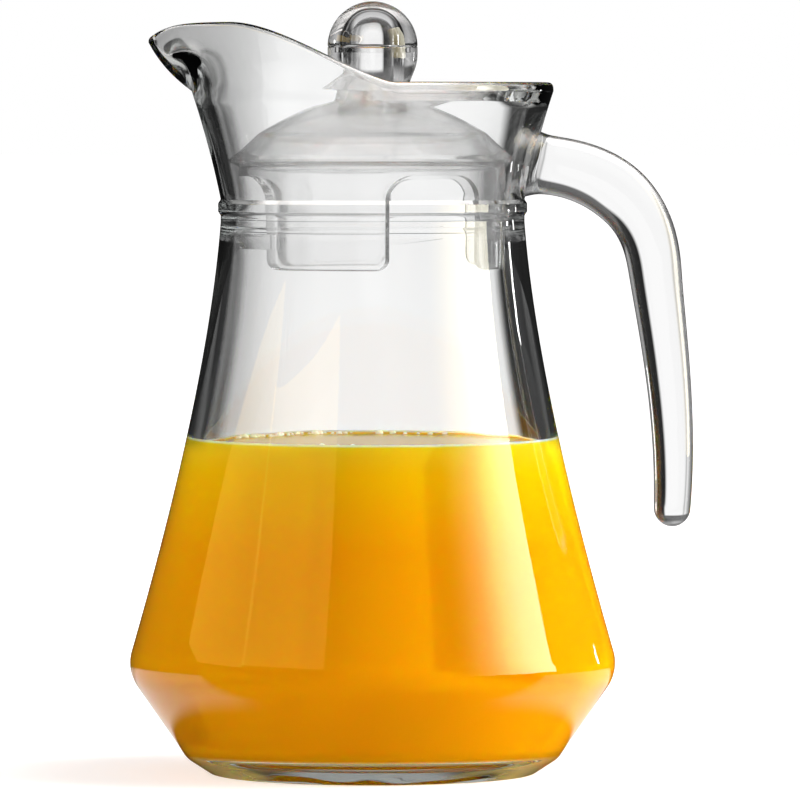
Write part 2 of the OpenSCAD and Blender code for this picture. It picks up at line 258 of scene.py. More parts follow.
# The surroundings, with the backdrop's brightness by how far sideways a ray goes
BACKDROP = (
    (-0.68, 0.92), (-0.56, 0.45), (-0.46, 0.6), (-0.36, 0.9), (-0.29, 0.5), (-0.22, 0.98), (-0.12, 1),
    (0.17, 1), (0.23, 0.015), (0.45, 0.03), (0.56, 0.02), (0.68, 0.9),
)
CARD_TOP_SPAN = (0.2, 0.27)
ABOVE_CARDS = (0.12, 0.12, 0.12)
OVERHEAD_SPAN = (0.45, 0.7)
OVERHEAD = (0.7, 0.7, 0.7)
ROOM_SCALE = 2.6
ROOM_DARK = (0.07, 0.07, 0.071)
ROOM_PATCH = (0.4, 0.4, 0.4)
PATCH_SPAN = (0.53, 0.68)
CEILING_SPAN = (0.16, 0.6)
CEILING = (0.85, 0.85, 0.85)
STRAIGHT_SPAN = (0.96, 0.985)
STRAIGHT_ON = (0.9, 0.9, 0.9)
GLOSS_DARK = (0.012, 0.012, 0.012)
ROOM_LIGHT = (0.26, 0.26, 0.26)

# The floor, with spans in metres from the jug's axis or in front of it
FLOOR_W = 60
FLOOR_COLOUR = (0.82, 0.78, 0.76)
FLOOR_ROUGHNESS = 0.6
FLOOR_GLOSS = 0.1
# The floor glows, which is painted light: faintly near the jug so that its shadow shows there, fully
# farther out, and more brightly under the foot.
SHADOW_SPAN = (0.075, 0.17)
SHADOW_GLOW = 0.34
LIT_GLOW = 0.65
UNDER_SPAN = (0.045, 0.037)
UNDER_GLOW = 0.6
# In gloss and inside the glass the floor shows painted tones: a painted shadow near the foot, and
# painted light near the jug for light turned back inside the glass.
FOOT_SPAN = (0.069, 0.077)
FOOT_SHADOW_IN_GLOSS = (0.01, 0.01, 0.01)
CARD_SPAN = (0.14, 0.19)
FAR_SPAN = (0.28, 0.4)
FRONT_SPAN = (-0.045, -0.06)
INNER_SPAN = (0.15, 0.9)
INNER_NEAR = (0.95, 0.95, 0.93)
INNER_FAR = (0.03, 0.03, 0.03)
THROUGH_SPAN = (0.2, 0.5)

# Soft boxes in degrees and metres: azimuth from the camera, height, width and tallness, brightness
RIGHT_BOX = (67, 0.62, (1.25, 1.2), 9.5)
RIGHT_FADE = (0, 0.85)
LEFT_BOX = (-45, 0.635, (0.95, 0.33), 1.9)
LEFT_FAR_BOX = (-88, 0.5, (1.0, 0.24), 1.9)
BACK_STRIP = (133, 0.12, (0.04, 0.15), 10)
RIGHT_FILL = (87, 0.62, (0.9, 1.2), 15)
LEFT_FILL = (-69, 0.6, (1.4, 1.1), 5.2)
TOP_BOX = (0, 1.6, (2.2, 2.2), 0.3)
TOP_BOX_AT = (0.1, 0.1, 1.6)
BOX_DISTANCE = 1.2
INSIDE_SHARE = 0.15
CREAM = (1, 0.95, 0.75)
GOLD = (1, 0.75, 0.15)
AMBER = (1, 0.66, 0.1)

# The camera, in metres, and how often light is followed
CAMERA_AT = (0, -2.215, 0.1815)
CAMERA_AIM = (0.0075, 0, 0.1022)
SENSOR_W = 36
LENS = 364
CLIP = (0.05, 200)
LIGHT_BOUNCES = 24
GLOSS_BOUNCES = 12
CLEAR_BOUNCES = 16


# Drawing profiles

def unit(v):
    length = math.hypot(*v)
    return (v[0] / length, v[1] / length)


def left(v):
    return (-v[1], v[0])


def add(a, b, times=1):
    return (a[0] + b[0] * times, a[1] + b[1] * times)


def mix(a, b, t):
    return a + (b - a) * t


def mix2(a, b, t):
    return (mix(a[0], b[0], t), mix(a[1], b[1], t))


def within(a, b, shares):
    return (mix(a[0], b[0], shares[0]), mix(a[1], b[1], shares[1]))


def curve3(a, b, c, t):
    return mix2(mix2(a, b, t), mix2(b, c, t), t)


def curve4(a, b, c, d, t):
    return mix2(curve3(a, b, c, t), curve3(b, c, d, t), t)


def curve3_at(a, b, c, h):
    """The point of a curve of three control points that lies at height h."""
    slope = b[1] - a[1]
    bend = c[1] - b[1] - slope
    rise = h - a[1]
    return curve3(a, b, c, rise / (slope + math.sqrt(slope ** 2 + bend * rise)))


def round_corner(a, b, c, r):
    """The corner b of the path a-b-c, rounded with radius r."""
    u = unit(add(b, a, -1))
    v = unit(add(c, b, -1))
    turn = math.atan2(u[0] * v[1] - u[1] * v[0], u[0] * v[0] + u[1] * v[1])
    reach = r * math.tan(abs(turn) / 2)
    side = 1 if turn > 0 else -1
    start = add(b, u, -reach)
    centre = add(start, left(u), r * side)
    steps = max(2, math.ceil(math.degrees(abs(turn)) / ARC_STEP))
    arc = []
    for i in range(steps + 1):
        angle = turn * i / steps
        spoke = left(u)
        turned = (
            spoke[0] * math.cos(angle) - spoke[1] * math.sin(angle),
            spoke[0] * math.sin(angle) + spoke[1] * math.cos(angle),
        )
        arc.append(add(centre, turned, -r * side))
    return arc


def rounded(path):
    """A path of (radius, height, rounding) corners, each rounded, with its two ends kept."""
    flat = [(p[0], p[1]) for p in path]
    drawn = []
    for i, corner in enumerate(path):
        if i in (0, len(path) - 1) or len(corner) < 3 or corner[2] == 0:
            drawn.append(flat[i])
        else:
            drawn += round_corner(flat[i - 1], flat[i], flat[i + 1], corner[2])
    return drawn


def inner_corner(a, b, c, d):
    """Where the corner b of the path a-b-c lies after both sides move left by d."""
    side_a = left(unit(add(b, a, -1)))
    side_c = left(unit(add(c, b, -1)))
    n = unit(add(side_a, side_c))
    return add(b, n, d / (n[0] * side_a[0] + n[1] * side_a[1]))


# The jug's outline

SEAT_H = BAND_H + BAND_W
belly_in = inner_corner(HEEL, BELLY, SHOULDER, WALL)
shoulder_in = inner_corner(BELLY, SHOULDER, NECK, WALL)
flank_in = unit(add(BELLY, HEEL, -1))
floor_corner = add(belly_in, flank_in, -(belly_in[1] - FLOOR_H) / flank_in[1])
throat_r = NECK[0] - THROAT_WALL
skirt_r = throat_r - SKIRT_GAP
flank_end = (NECK[0] - NECK_WALL, THROAT_H)
flare_start = (NECK[0], SEAT_H)
edge = (RIM_R, RIM_H - RIM_EDGE)
flare_bend = within(flare_start, edge, FLARE_SHARE)
flare_way = unit(add(edge, flare_bend, -1))
flare_in_end = add(add(edge, left(flare_way), WALL), flare_way, -WALL * RIM_SHIFT)
flare_in_start = (throat_r, SEAT_H)
flare_in_bend = add(flare_bend, unit(left(add(edge, flare_start, -1))), WALL)


def flank(start, by, end):
    return [curve3(start, by, end, i / FLANK_STEPS) for i in range(1, FLANK_STEPS + 1)]


def jug_outside():
    belly_arc = round_corner(HEEL, BELLY, SHOULDER, BELLY_ROUND)
    ring_in = FOOT_R - FOOT_W
    base = rounded([
        (0, PUNT_DEPTH),
        (ring_in, PUNT_DEPTH, PUNT_ROUND),
        (ring_in, 0, FOOT_ROUND / 2),
        (FOOT_R, 0, FOOT_ROUND),
        (*HEEL, HEEL_ROUND),
        belly_arc[0],
    ])
    band = rounded([
        (NECK[0], BAND_H - BAND_W),
        (BAND_R, BAND_H - BAND_W / 2, BAND_ROUND / 2),
        (BAND_R, BAND_H + BAND_W / 2, BAND_ROUND / 2),
        flare_start,
    ])
    return base + belly_arc[1:] + flank(belly_arc[-1], SHOULDER, NECK) + band[:-1]


def jug_inside():
    belly_arc = round_corner(floor_corner, belly_in, shoulder_in, BELLY_ROUND - WALL)
    base = rounded([(0, FLOOR_H), (*floor_corner, FLOOR_ROUND), belly_arc[0]])
    throat = rounded([
        flank_end,
        (throat_r, THROAT_H + THROAT_RAMP, THROAT_ROUND),
        flare_in_start,
    ])
    return base + belly_arc[1:] + flank(belly_arc[-1], shoulder_in, flank_end)[:-1] + throat[:-1]


def reach_at(angle):
    return math.exp(-((angle / TIP_ANGLE) ** TIP_POWER))


def rise_at(angle):
    fall = (angle - BEAK_FULL_ANGLE) / (BEAK_END_ANGLE - BEAK_FULL_ANGLE)
    return math.cos(math.pi / 2 * min(max(fall, 0), 1)) ** BEAK_FALL_POWER


def dip_at(angle):
    return math.exp(-((angle / DIP_ANGLE) ** DIP_POWER))


def squared(v, power):
    return math.copysign(abs(v) ** power, v)


def mouth_section(angle):
    """The section of the mouth at an angle from the tip, from its outer foot to its inner foot."""
    rise = rise_at(angle)
    reach = reach_at(angle)
    t = mix(THROAT_WALL, LIP_T, rise)
    lip_r = RIM_R + BEAK_REACH * reach + BEAK_RISE * SIDE_OUT_SHARE * rise * (1 - reach)
    lip_h = RIM_H + BEAK_RISE * rise - TIP_DIP * dip_at(angle)
    lip = (lip_r, lip_h - t / 2)
    lip_in = (lip[0] - t, lip[1])
    near = within(flare_in_end, lip_in, add(*CHANNEL_NEAR, reach))
    far = within(flare_in_end, lip_in, add(*CHANNEL_FAR, reach))
    under = within(edge, lip, UNDER_SHARE)
    steps = range(CURVE_STEPS + 1)
    section = [curve3(flare_start, flare_bend, edge, i / CURVE_STEPS) for i in steps]
    section += [curve3(edge, under, lip, i / CURVE_STEPS) for i in steps[1:]]
    for a in range(LIP_STEP, 180, LIP_STEP):
        turn = math.radians(a)
        section.append((
            lip[0] + (squared(math.cos(turn), LIP_SQUARE) - 1) * t / 2,
            lip[1] + squared(math.sin(turn), LIP_SQUARE) * t / 2,
        ))
    back = steps[:0:-1]
    section += [curve4(flare_in_end, near, far, lip_in, i / CURVE_STEPS) for i in back]
    flare_in = (flare_in_start, flare_in_bend, flare_in_end)
    section += [curve3(*flare_in, i / CURVE_STEPS) for i in steps[::-1]]
    return section


# Modelling

def pick(*pieces):
    """Makes these pieces the only ones selected, and the first of them active."""
    bpy.ops.object.select_all(action="DESELECT")
    for piece in pieces:
        piece.select_set(True)
    bpy.context.view_layer.objects.active = pieces[0]


def open_mesh():
    """Starts edit mode with everything selected."""
    bpy.ops.object.mode_set(mode="EDIT")
    bpy.ops.mesh.select_all(action="SELECT")


def close_mesh():
    """Turns all faces outwards and ends edit mode."""
    bpy.ops.mesh.select_all(action="SELECT")
    bpy.ops.mesh.normals_make_consistent(inside=False)
    bpy.ops.object.mode_set(mode="OBJECT")


def wire(name, points):
    """A closed wire through the points of a profile, reshaped from a circle."""
    bpy.ops.object.select_all(action="DESELECT")
    bpy.ops.mesh.primitive_circle_add(vertices=len(points), radius=1, fill_type="NOTHING")
    piece = bpy.context.object
    piece.name = name
    row = piece.data.attributes.new("row", "INT", "POINT")
    for i, (r, z) in enumerate(points):
        piece.data.vertices[i].co = (r * MM, 0, z * MM)
        row.data[i].value = i
    return piece


def turned(name, points, steps):
    """A profile spun round the jug's axis into a closed piece."""
    piece = wire(name, points)
    open_mesh()
    bpy.ops.mesh.spin(steps=steps, angle=2 * math.pi, center=(0, 0, 0), axis=(0, 0, 1))
    bpy.ops.mesh.select_all(action="SELECT")
    bpy.ops.mesh.remove_doubles(threshold=MERGE_GAP * MM)
    bpy.ops.mesh.delete_loose(use_verts=True, use_edges=True, use_faces=False)
    close_mesh()
    return piece


def smooth(piece, angle):
    pick(piece)
    bpy.ops.object.shade_smooth_by_angle(angle=math.radians(angle))


def apply_all(piece):
    pick(piece)
    for modifier in list(piece.modifiers):
        bpy.ops.object.modifier_apply(modifier=modifier.name)


def combine(piece, other, operation):
    """Cuts the other piece out of this one, or adds it, and deletes it."""
    joint = piece.modifiers.new("joint", "BOOLEAN")
    joint.operation = operation
    joint.solver = "EXACT"
    joint.object = other
    apply_all(piece)
    bpy.data.objects.remove(other)


def make_jug():
    """The jug turned from foot to mouth, with the mouth's section then drawn anew at each angle.
    Towards the beak the sections lie closer together."""
    outside = jug_outside()
    inside = jug_inside()
    plain = mouth_section(180)
    piece = turned("jug", outside + plain + inside[::-1], JUG_STEPS)
    first = len(outside)
    last = first + len(plain) - 1
    rows = piece.data.attributes["row"].data
    sections = {}
    for vertex, row in zip(piece.data.vertices, rows):
        if not first < row.value < last:
            continue
        along = min(row.value - first, last - row.value) / CURVE_STEPS
        turn = math.atan2(vertex.co.y, -vertex.co.x)
        turn -= math.radians(MOUTH_CROWD) * min(along, 1) * math.sin(turn)
        key = round(abs(math.degrees(turn)), 4)
        if key not in sections:
            sections[key] = mouth_section(key)
        r, z = sections[key][row.value - first]
        vertex.co = (-r * MM * math.cos(turn), r * MM * math.sin(turn), z * MM)
    piece.data.attributes.remove(piece.data.attributes["row"])
    smooth(piece, SHARP)
    return piece


def handle_path():
    """Places of the handle's middle line with the way across it, its width and its thickness."""
    flare_mid = curve3_at(flare_start, flare_bend, edge, ROOT_H)
    root_way = unit((edge[1] - flare_start[1], flare_start[0] - edge[0]))
    root = (flare_mid[0] - ROOT_SINK, ROOT_H)
    tail = (HANDLE_REACH - TAIL_W * TAIL_IN, TAIL_H + TAIL_W / 2)
    points = [within(root, tail, shares) for shares in HANDLE_BENDS]

    def line(t):
        if t < 1:
            return curve4(root, points[0], points[1], points[2], t)
        return curve4(points[2], points[3], points[4], tail, t - 1)

    stations = []
    for i in range(HANDLE_RINGS + 1):
        share = (i / HANDLE_RINGS) ** HANDLE_CROWD
        at = line(2 * share)
        way = add(line(min(2 * share + NUDGE, 2)), line(max(2 * share - NUDGE, 0)), -1)
        out = math.hypot(*add(at, root, -1))
        way = unit(mix2(root_way, unit(way), min(out / ROOT_W, 1)))
        flare = 2 * COLLAR * math.exp(-max(out - ROOT_SINK, 0) / COLLAR_FALL)
        if share < WIDEST_AT:
            w = mix(ROOT_W, BEND_W, (1 - math.cos(math.pi * share / WIDEST_AT)) / 2)
        else:
            w = mix(BEND_W, TAIL_W, ((share - WIDEST_AT) / (1 - WIDEST_AT)) ** TAPER_POWER)
        stations.append((at, left(way), w + flare, mix(ROOT_T, TAIL_T, share) + flare))
    for a in TAIL_ANGLES:
        turn = math.radians(a)
        stations.append((
            add(tail, (0, -TAIL_W / 2 * math.sin(turn))),
            (1, 0),
            TAIL_W * math.cos(turn),
            TAIL_T * math.cos(turn),
        ))
    return stations


def make_handle():
    """The handle drawn out from its root, ring by ring."""
    stations = handle_path()
    bpy.ops.object.select_all(action="DESELECT")
    bpy.ops.mesh.primitive_circle_add(vertices=HANDLE_SIDES, radius=1, fill_type="NGON")
    piece = bpy.context.object
    piece.name = "handle"

    def ring_point(station, p, q):
        at, across, w, t = station
        return Vector((at[0] + across[0] * p * w, q * t, at[1] + across[1] * p * w)) * MM

    for i, vertex in enumerate(piece.data.vertices):
        turn = 2 * math.pi * i / HANDLE_SIDES
        p = squared(math.cos(turn), HANDLE_SQUARE) / 2
        q = squared(math.sin(turn), HANDLE_SQUARE) / 2
        vertex.co = ring_point(stations[0], p, q)
    open_mesh()
    for before, after in zip(stations, stations[1:]):
        bpy.ops.mesh.extrude_region_move()
        form = bmesh.from_edit_mesh(piece.data)
        at, across, w, t = before
        for vertex in form.verts:
            if vertex.select:
                x, y, z = vertex.co / MM
                p = ((x - at[0]) * across[0] + (z - at[1]) * across[1]) / w
                vertex.co = ring_point(after, p, y / t)
        bmesh.update_edit_mesh(piece.data)
    close_mesh()
    finer = piece.modifiers.new("finer", "SUBSURF")
    finer.levels = finer.render_levels = 2
    apply_all(piece)
    smooth(piece, ROUND_SHARP)
    return piece


def lid_profile():
    """The lid's section: down its outside, round the skirt's foot, up its inside to the knob."""
    flange_seat = curve3_at(flare_in_start, flare_in_bend, flare_in_end, FLANGE_H - FLANGE_T / 2)
    flange_r = flange_seat[0] - LID_GAP
    shoulder_z = FLANGE_H + DOME_STEP
    dome_top = shoulder_z + DOME_RISE
    start = (DOME_START_R, dome_top)
    end = (DOME_R, shoulder_z)
    bulge = (mix(start[0], end[0], DOME_BULGE[0]), mix(end[1], start[1], DOME_BULGE[1]))
    start_in = (HOLLOW_R, dome_top - LID_T)
    end_in = (DOME_R - LID_T, shoulder_z - LID_T)
    bulge_in = (bulge[0] - LID_T / 2, bulge[1] - LID_T)
    spigot_r = HOLLOW_R + SPIGOT_T + SPIGOT_GAP
    n = CURVE_STEPS
    outside = rounded([
        (KNOB_R - SEAM_CUT, KNOB_H),
        (KNOB_R, KNOB_H - SEAM_CUT, 0),
        (KNOB_R, KNOB_H - KNOB_DROP, KNOB_ROUND),
        (KNOB_WAIST[0], KNOB_H - KNOB_WAIST[1], KNOB_FILLET),
        start,
    ])
    outside += [curve3(start, bulge, end, i / n) for i in range(1, n)]
    turn = rounded([
        curve3(start, bulge, end, 1 - 1 / (2 * n)),
        (*end, SHOULDER_ROUND / 2),
        (flange_r, FLANGE_H, FLANGE_ROUND),
        (flange_r, FLANGE_H - FLANGE_T / 2, FLANGE_ROUND),
        (flange_r - FLANGE_T, FLANGE_H - FLANGE_T, 0),
        (skirt_r, FLANGE_H - FLANGE_T, SKIRT_ROUND),
        (skirt_r, SKIRT_H, SKIRT_FOOT_ROUND),
        (skirt_r - LID_T, SKIRT_H, SKIRT_FOOT_ROUND),
        (skirt_r - LID_T, FLANGE_H, SKIRT_ROUND),
        (*end_in, SHOULDER_ROUND),
        curve3(start_in, bulge_in, end_in, 1 - 2 / n),
    ])
    inside = [curve3(start_in, bulge_in, end_in, i / n) for i in range(n - 3, -1, -1)]
    seat = [(HOLLOW_R, KNOB_H - SPIGOT_H), (spigot_r, KNOB_H - SPIGOT_H), (spigot_r, KNOB_H)]
    return outside + turn + inside + seat


def window_cutter(angle, spread, head_round):
    """A round-headed block, open at the bottom, that stands out through one side of the skirt."""
    half = skirt_r * math.sin(math.radians(spread / 2))
    low = SKIRT_H - LEG_ROUND
    outline = rounded([
        (-half - CUT_OVER, low),
        (-half - CUT_OVER, SKIRT_H, 0),
        (-half, SKIRT_H, LEG_ROUND),
        (-half, WINDOW_H, head_round),
        (half, WINDOW_H, head_round),
        (half, SKIRT_H, LEG_ROUND),
        (half + CUT_OVER, SKIRT_H, 0),
        (half + CUT_OVER, low),
    ])
    piece = wire("window", outline)
    turn = Matrix.Rotation(math.radians(angle), 4, "Z")
    for vertex in piece.data.vertices:
        vertex.co = turn @ Vector((skirt_r * CUT_START_SHARE * MM, vertex.co.x, vertex.co.z))
    open_mesh()
    bpy.ops.mesh.edge_face_add()
    out = turn @ Vector((CUT_LENGTH * MM, 0, 0))
    bpy.ops.mesh.extrude_region_move(TRANSFORM_OT_translate={"value": out})
    close_mesh()
    return piece


def make_lug(side):
    """A lug on one leg of the skirt, with a ramp at its end towards the handle."""
    out_r = skirt_r + SKIRT_GAP - LID_GAP
    section = [
        (skirt_r - LID_T / 2, THROAT_H - LUG_H),
        (out_r, THROAT_H - LUG_H),
        (out_r, THROAT_H),
        (skirt_r - LID_T / 2, THROAT_H),
    ]
    piece = wire("lug", section)
    half = LUG_L / 2 / skirt_r
    middle = math.radians(LUG_ANGLE) * side
    turn = Matrix.Rotation(middle - half, 4, "Z")
    for vertex in piece.data.vertices:
        vertex.co = turn @ vertex.co
    open_mesh()
    bpy.ops.mesh.edge_face_add()
    bpy.ops.mesh.spin(steps=LUG_STEPS, angle=2 * half, center=(0, 0, 0), axis=(0, 0, 1))
    bpy.ops.object.mode_set(mode="OBJECT")
    for vertex in piece.data.vertices:
        if vertex.co.z < (THROAT_H - LUG_H / 2) * MM:
            at = math.atan2(vertex.co.y, vertex.co.x)
            off = (at - middle + math.pi) % (2 * math.pi) - math.pi
            share = (off * side + half) / (2 * half)
            shift = -share * LUG_RAMP / skirt_r * side
            vertex.co = Matrix.Rotation(shift, 4, "Z") @ vertex.co
    pick(piece)
    open_mesh()
    close_mesh()
    return piece


def make_lid():
    """The lid with the lower half of its knob, its three windows and its two lugs."""
    piece = turned("lid", lid_profile(), LID_STEPS)
    for angle, spread, head in (
        (ARCH_MID, ARCH_ANGLE, ARCH_ROUND),
        (-ARCH_MID, ARCH_ANGLE, ARCH_ROUND),
        (180, POUR_ANGLE, POUR_ROUND),
    ):
        combine(piece, window_cutter(angle, spread, head), "DIFFERENCE")
    for side in (1, -1):
        combine(piece, make_lug(side), "UNION")
    smooth(piece, LID_SHARP)
    return piece


def make_knob():
    """The upper half of the knob, hollow, with a spigot that sits in the lower half."""
    hollow_top = KNOB_H + KNOB_R - CAP_T
    spigot_r = HOLLOW_R + SPIGOT_T
    profile = []
    for a in range(90, 0, -KNOB_STEP):
        turn = math.radians(a)
        profile.append((KNOB_R * math.cos(turn), KNOB_H + KNOB_R * math.sin(turn)))
    profile += [
        (KNOB_R, KNOB_H + SEAM_CUT),
        (KNOB_R - SEAM_CUT, KNOB_H),
        (spigot_r, KNOB_H),
        (spigot_r, KNOB_H - SPIGOT_H),
        (HOLLOW_R, KNOB_H - SPIGOT_H),
        (HOLLOW_R, hollow_top - HOLLOW_R),
    ]
    for a in range(KNOB_STEP, 90 + KNOB_STEP, KNOB_STEP):
        turn = math.radians(a)
        rise = HOLLOW_R * math.sin(turn)
        profile.append((HOLLOW_R * math.cos(turn), hollow_top - HOLLOW_R + rise))
    profile[0] = (0, profile[0][1])
    profile[-1] = (0, profile[-1][1])
    piece = turned("knob", profile, KNOB_STEPS)
    smooth(piece, LID_SHARP)
    return piece


def make_juice():
    """The juice fills the jug up to its level and climbs a little at the glass."""
    wall_in = [p for p in jug_inside() if p[1] < JUICE_H]
    top_r = wall_in[-1][0] + JUICE_INTO_WALL
    profile = [(0, FLOOR_H - JUICE_INTO_WALL)]
    for before, at in zip(wall_in, wall_in[1:]):
        side = left(unit(add(at, before, -1)))
        profile.append(add(at, side, -JUICE_INTO_WALL))
    profile.append((top_r, JUICE_H))
    for out, climb in JUICE_CLIMB:
        profile.append((top_r - out, JUICE_H - JUICE_DIP + climb))
    profile += [(r, JUICE_H - JUICE_DIP) for r in JUICE_RINGS]
    piece = turned("juice", profile, JUICE_STEPS)
    smooth(piece, ROUND_SHARP)
    return piece


def bubble_spots():
    """The middle and the radius of each bubble, in metres. Sizes and gaps come round in turn."""
    edge_r = [p for p in jug_inside() if p[1] < JUICE_H][-1][0]
    spots = []
    for count, start, spread in BUBBLE_RUNS:
        for i in range(count):
            size = BUBBLE_SIZES[(3 * i + count) % len(BUBBLE_SIZES)]
            turn = math.radians(start + spread * (i + 0.5) / count)
            out = edge_r - size - BUBBLE_GAP - BUBBLE_SPREAD * (i % 4) / 4
            at = (out * math.cos(turn), out * math.sin(turn), JUICE_H - JUICE_DIP)
            spots.append((Vector(at) * MM, size * MM))
    return spots


def make_bubbles():
    """Small bubbles that float together at the near and far edge of the juice, towards the beak."""
    (first, size), *others = bubble_spots()
    bpy.ops.object.select_all(action="DESELECT")
    bpy.ops.mesh.primitive_uv_sphere_add(radius=size, location=(0, 0, 0), **BUBBLE_MESH)
    piece = bpy.context.object
    piece.name = "bubbles"
    for vertex in piece.data.vertices:
        vertex.co += first
    open_mesh()
    for at, size in others:
        bpy.ops.mesh.primitive_uv_sphere_add(radius=size, location=at, **BUBBLE_MESH)
    close_mesh()
    smooth(piece, ROUND_SHARP)
    return piece


# Nodes

def grey(level):
    return (level, level, level)


def fill(tree, socket, value):
    """Sets an input to a number or a colour, or joins another node's output to it."""
    if isinstance(value, bpy.types.NodeSocket):
        tree.links.new(value, socket)
    elif socket.type == "RGBA":
        socket.default_value = (*value, 1)
    else:
        socket.default_value = value


def fill_all(tree, node, values):
    for name, value in values.items():
        fill(tree, node.inputs[name], value)


def new_node(tree, kind, values=None, **settings):
    """A node with its settings, and with its inputs set or joined."""
    node = tree.nodes.new(kind)
    for name, value in settings.items():
        setattr(node, name, value)
    fill_all(tree, node, values or {})
    return node


def new_material(name):
    """A material, its tree, its main shader and its output."""
    material = bpy.data.materials.new(name)
    material.use_nodes = True
    tree = material.node_tree
    return material, tree, tree.nodes["Principled BSDF"], tree.nodes["Material Output"]


def either(tree, share, usual, other):
    """One shader, and another over a share of it."""
    return new_node(tree, "ShaderNodeMixShader", {0: share, 1: usual, 2: other}).outputs[0]


def maths(tree, operation, a, b=0):
    """The result of one operation on two values, held between 0 and 1."""
    node = new_node(tree, "ShaderNodeMath", {0: a, 1: b}, operation=operation, use_clamp=True)
    return node.outputs[0]


def blend(tree, share, a, b, kind="MIX"):
    """A colour with a share of b over a, each an output or a fixed colour."""
    values = {"Factor": share, "A": a, "B": b}
    node = new_node(tree, "ShaderNodeMix", values, data_type="RGBA", blend_type=kind)
    return node.outputs["Result"]


def ranged(tree, value, low, high, kind="SMOOTHSTEP"):
    """The value brought to 0 at low and 1 at high, and eased at both ends unless LINEAR."""
    values = {"Value": value, "From Min": low, "From Max": high}
    return new_node(tree, "ShaderNodeMapRange", values, interpolation_type=kind).outputs[0]


def ramp(tree, value, steps):
    """Tones along a value, from pairs of a place and a grey level or a colour."""
    node = new_node(tree, "ShaderNodeValToRGB", {"Fac": value})
    marks = node.color_ramp.elements
    while len(marks) < len(steps):
        marks.new(0.5)
    for mark, (at, tone) in zip(marks, steps):
        mark.position = at
        mark.color = (*(tone if isinstance(tone, tuple) else grey(tone)), 1)
    return node.outputs["Color"]


def from_middle(steps):
    """Places from -1 to 1 as places from 0 to 1."""
    return [(0.5 + at / 2, tone) for at, tone in steps]


def noise(tree, vector, scale, detail):
    values = {"Vector": vector, "Scale": scale, "Detail": detail}
    return new_node(tree, "ShaderNodeTexNoise", values).outputs["Fac"]


def heights(level, offsets):
    """Heights above and below a level of the jug, in metres."""
    return [(level + offset) * MM for offset in offsets]


def place(tree):
    return new_node(tree, "ShaderNodeTexCoord").outputs["Object"]


def axes(tree, vector):
    return new_node(tree, "ShaderNodeSeparateXYZ", {0: vector}).outputs


def true_normal(tree):
    return axes(tree, new_node(tree, "ShaderNodeNewGeometry").outputs["True Normal"])


def facing(tree):
    """0 where a surface is seen face on and 1 where it is seen edge on."""
    return new_node(tree, "ShaderNodeLayerWeight", {"Blend": 0.5}).outputs["Facing"]


# Node groups that several materials use

def new_group(name, given, made):
    """A group with number inputs and one number output: its tree, its inputs and its result."""
    group = bpy.data.node_groups.new(name, "ShaderNodeTree")
    for label in given:
        group.interface.new_socket(name=label, in_out="INPUT", socket_type="NodeSocketFloat")
    group.interface.new_socket(name=made, in_out="OUTPUT", socket_type="NodeSocketFloat")
    inputs = group.nodes.new("NodeGroupInput").outputs
    return group, inputs, group.nodes.new("NodeGroupOutput").inputs[made]


def use_group(tree, name, values):
    """A group placed in a material with its own values."""
    node = new_node(tree, "ShaderNodeGroup", node_tree=bpy.data.node_groups[name])
    fill_all(tree, node, values)
    return node.outputs[0]


def make_waves():
    """Waves in a clear wall as heights, which can be drawn out along the jug's axis."""
    group, given, height = new_group("waves", ("Scale", "Upright"), "Height")
    values = {"X": 1, "Y": 1, "Z": given["Upright"]}
    stretch = new_node(group, "ShaderNodeCombineXYZ", values).outputs[0]
    drawn = new_node(group, "ShaderNodeMapping", {"Vector": place(group), "Scale": stretch}).outputs[0]
    fill(group, height, noise(group, drawn, given["Scale"], 1))


def make_bond():
    """How much of a piece shows: nothing of a level face at the given height, in metres, where it
    is joined to the piece it rests on, and its body elsewhere."""
    group, given, shown = new_group("bond", ("Height", "Body"), "Shown")
    values = {0: axes(group, place(group))["Z"], 1: given["Height"], 2: BOND_T * MM}
    here = new_node(group, "ShaderNodeMath", values, operation="COMPARE").outputs[0]
    upright = maths(group, "ABSOLUTE", true_normal(group)["Z"])
    level = maths(group, "GREATER_THAN", upright, LEVEL_NORMAL)
    kept = maths(group, "SUBTRACT", 1, maths(group, "MULTIPLY", here, level))
    fill(group, shown, maths(group, "MULTIPLY", kept, given["Body"]))


# Clear materials

def clear_material(name, ior, waves):
    """Clear glass or plastic: smooth, faintly wavy, and letting lamp light pass."""
    material, tree, shader, output = new_material(name)
    scale, depth, upright = waves
    relief = use_group(tree, "waves", {"Scale": scale, "Upright": upright})
    values = {"Strength": 1, "Distance": depth, "Height": relief}
    bump = new_node(tree, "ShaderNodeBump", values).outputs[0]
    fill_all(tree, shader, {"Roughness": 0, "IOR": ior, "Transmission Weight": 1, "Normal": bump})
    in_shadow = new_node(tree, "ShaderNodeLightPath").outputs["Is Shadow Ray"]
    passing = new_node(tree, "ShaderNodeBsdfTransparent", {"Color": SHADOW_TINT}).outputs[0]
    fill(tree, output.inputs["Surface"], either(tree, in_shadow, shader.outputs[0], passing))
    return material, tree, shader, output


def wall_painted_shade(tree):
    """Painted shade: above the juice the jug's wall darkens where it is seen edge on, less so at the
    lip, and it is greyer on the beak's side."""
    at = axes(tree, place(tree))
    lip = ranged(tree, at["Z"], *heights(RIM_H, LIP_FADE))
    lip = maths(tree, "MULTIPLY", lip, LIP_CLEAR)
    edge_on = blend(tree, lip, ramp(tree, facing(tree), WALL_EDGE_SHADE), WHITE)
    across = ranged(tree, at["X"], -WALL_REACH, WALL_REACH, "LINEAR")
    wall = blend(tree, 1, edge_on, ramp(tree, across, from_middle(WALL_SIDE_SHADE)), "MULTIPLY")
    above = ranged(tree, at["Z"], *heights(JUICE_H, WALL_FADE))
    return blend(tree, above, WHITE, wall)


